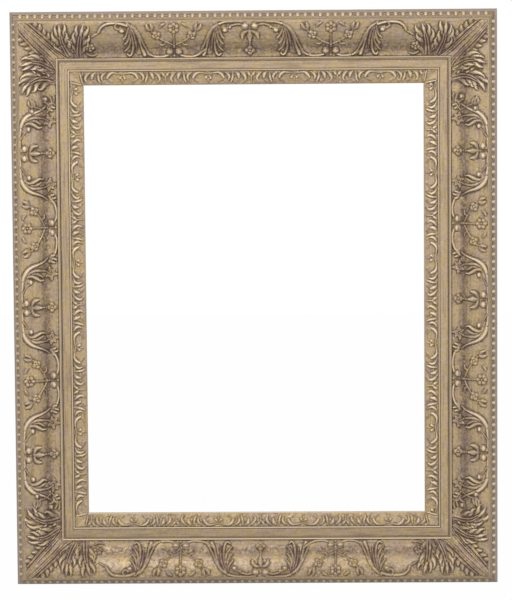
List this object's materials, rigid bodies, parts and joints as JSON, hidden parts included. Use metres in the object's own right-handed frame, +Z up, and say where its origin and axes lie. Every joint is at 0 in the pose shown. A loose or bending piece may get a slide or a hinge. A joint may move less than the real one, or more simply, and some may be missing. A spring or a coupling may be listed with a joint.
{
  "type": "picture frame",
  "caption": "Large gilded picture frame: mitred ogee rails with scrolling acanthus relief, beaded outer edge, plain frieze and leafy sight edge, with turn buttons and hanging rings behind.",
  "frame": {"origin": "centre of the frame on the wall plane, where the back of the rails bears on the wall", "axes": "+X to the viewer's right, +Z up, +Y from the front towards the wall"},
  "size_m": [1.022, 0.0799, 1.215],
  "materials": {
    "gilded_wood": "antiqued gilding over reddish bole, with fine wear along the rails",
    "gilded_composition": "gilded composition ornament, rubbed bright on the high points and dark in the recesses",
    "key_wood": "oiled hardwood",
    "plate_steel": "dull zinc plated steel",
    "screw_steel": "darkened steel",
    "button_brass": "stamped brass",
    "hanger_brass": "brass plated"
  },
  "bodies": {
    "frame": {"bottom_rail": "gilded_wood", "bottom_slip": "gilded_wood", "bottom_bead_course": "gilded_composition", "bottom_scrollwork": "gilded_composition", "bottom_sight_leaves": "gilded_composition", "right_rail": "gilded_wood", "right_slip": "gilded_wood", "right_bead_course": "gilded_composition", "right_scrollwork": "gilded_composition", "right_sight_leaves": "gilded_composition", "top_rail": "gilded_wood", "top_slip": "gilded_wood", "top_bead_course": "gilded_composition", "top_scrollwork": "gilded_composition", "top_sight_leaves": "gilded_composition", "left_rail": "gilded_wood", "left_slip": "gilded_wood", "left_bead_course": "gilded_composition", "left_scrollwork": "gilded_composition", "left_sight_leaves": "gilded_composition", "bottom_left_corner_leaf": "gilded_composition", "bottom_left_corner_key": "key_wood", "bottom_right_corner_leaf": "gilded_composition", "bottom_right_corner_key": "key_wood", "top_right_corner_leaf": "gilded_composition", "top_right_corner_key": "key_wood", "top_left_corner_leaf": "gilded_composition", "top_left_corner_key": "key_wood", "slip_plates": "plate_steel", "slip_plate_screws": "screw_steel", "turn_button_screws": "screw_steel", "hanger_screws": "screw_steel", "left_hanger": "hanger_brass", "right_hanger": "hanger_brass"},
    "left_hanger_ring": {"left_hanger_ring": "hanger_brass"},
    "right_hanger_ring": {"right_hanger_ring": "hanger_brass"},
    "bottom_turn_button_1": {"bottom_turn_button_1": "button_brass"},
    "bottom_turn_button_2": {"bottom_turn_button_2": "button_brass"},
    "right_turn_button_1": {"right_turn_button_1": "button_brass"},
    "right_turn_button_2": {"right_turn_button_2": "button_brass"},
    "top_turn_button_1": {"top_turn_button_1": "button_brass"},
    "top_turn_button_2": {"top_turn_button_2": "button_brass"},
    "left_turn_button_1": {"left_turn_button_1": "button_brass"},
    "left_turn_button_2": {"left_turn_button_2": "button_brass"}
  },
  "joints": [
    {"name": "left_ring_swing", "type": "hinge", "parent": "frame", "child": "left_hanger_ring", "pos_m": [-0.445, -0.00832, 0.2775], "axis": [1, 0, 0], "range_deg": [0, 180]},
    {"name": "right_ring_swing", "type": "hinge", "parent": "frame", "child": "right_hanger_ring", "pos_m": [0.445, -0.00832, 0.2775], "axis": [1, 0, 0], "range_deg": [0, 180]},
    {"name": "bottom_button_1_turn", "type": "hinge", "parent": "frame", "child": "bottom_turn_button_1", "pos_m": [-0.215, -0.011, -0.476], "axis": [0, 1, 0], "continuous": true},
    {"name": "bottom_button_2_turn", "type": "hinge", "parent": "frame", "child": "bottom_turn_button_2", "pos_m": [0.215, -0.011, -0.476], "axis": [0, 1, 0], "continuous": true},
    {"name": "right_button_1_turn", "type": "hinge", "parent": "frame", "child": "right_turn_button_1", "pos_m": [0.3795, -0.011, -0.29], "axis": [0, 1, 0], "continuous": true},
    {"name": "right_button_2_turn", "type": "hinge", "parent": "frame", "child": "right_turn_button_2", "pos_m": [0.3795, -0.011, 0.29], "axis": [0, 1, 0], "continuous": true},
    {"name": "top_button_1_turn", "type": "hinge", "parent": "frame", "child": "top_turn_button_1", "pos_m": [0.215, -0.011, 0.476], "axis": [0, 1, 0], "continuous": true},
    {"name": "top_button_2_turn", "type": "hinge", "parent": "frame", "child": "top_turn_button_2", "pos_m": [-0.215, -0.011, 0.476], "axis": [0, 1, 0], "continuous": true},
    {"name": "left_button_1_turn", "type": "hinge", "parent": "frame", "child": "left_turn_button_1", "pos_m": [-0.3795, -0.011, 0.29], "axis": [0, 1, 0], "continuous": true},
    {"name": "left_button_2_turn", "type": "hinge", "parent": "frame", "child": "left_turn_button_2", "pos_m": [-0.3795, -0.011, -0.29], "axis": [0, 1, 0], "continuous": true}
  ]
}
